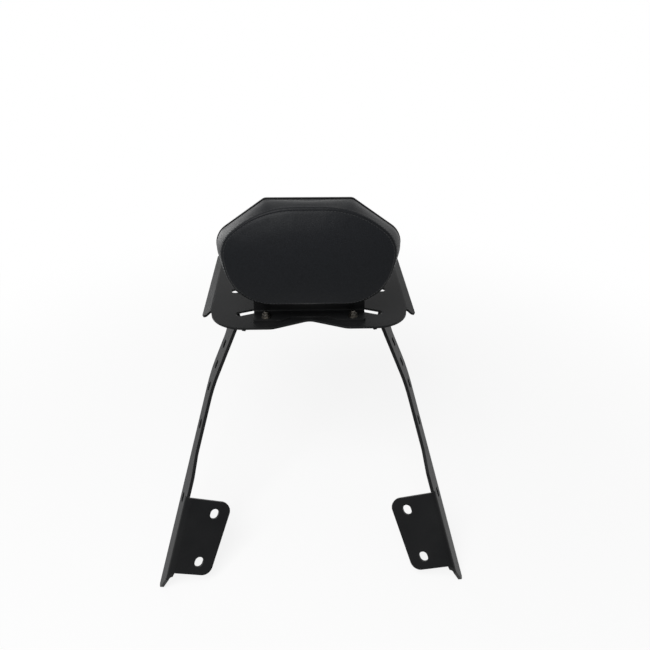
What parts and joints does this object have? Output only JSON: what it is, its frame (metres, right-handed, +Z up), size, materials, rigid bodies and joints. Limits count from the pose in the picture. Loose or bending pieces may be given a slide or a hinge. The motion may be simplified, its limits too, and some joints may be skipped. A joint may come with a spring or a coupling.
{
  "type": "motorcycle luggage rack with backrest",
  "caption": "Black folded-sheet rear luggage rack with strap slots, laser-cut side arms ending in bolt-on feet, and a padded passenger backrest.",
  "frame": {"origin": "centre of the carrier plate's top face", "axes": "+Z up out of the carrier plate, -Y the way the pad faces, towards the front of the motorcycle, and +X to the right as seen facing the pad; left and right in the names are as seen facing the pad"},
  "size_m": [0.3752, 0.325, 0.4505],
  "materials": {
    "powder_coat": "satin black powder coat",
    "leather": "fine-grained black leatherette",
    "foam": "open-cell foam",
    "board": "raw plywood",
    "zinc": "zinc plated"
  },
  "bodies": {
    "root": {"carrier_plate": "powder_coat", "left_arm": "powder_coat", "right_arm": "powder_coat", "backrest_bracket": "powder_coat", "pad_cover": "leather", "pad_foam": "foam", "pad_board": "board", "left_front_bolt": "zinc", "left_front_nut": "zinc", "left_front_top_washer": "zinc", "left_front_bottom_washer": "zinc", "left_rear_bolt": "zinc", "left_rear_nut": "zinc", "left_rear_top_washer": "zinc", "left_rear_bottom_washer": "zinc", "right_front_bolt": "zinc", "right_front_nut": "zinc", "right_front_top_washer": "zinc", "right_front_bottom_washer": "zinc", "right_rear_bolt": "zinc", "right_rear_nut": "zinc", "right_rear_top_washer": "zinc", "right_rear_bottom_washer": "zinc", "pad_screw_1": "zinc", "pad_screw_2": "zinc", "pad_screw_3": "zinc", "pad_screw_4": "zinc", "pad_washer_1": "zinc", "pad_washer_2": "zinc", "pad_washer_3": "zinc", "pad_washer_4": "zinc", "pad_insert_1": "zinc", "pad_insert_2": "zinc", "pad_insert_3": "zinc", "pad_insert_4": "zinc"}
  },
  "joints": []
}
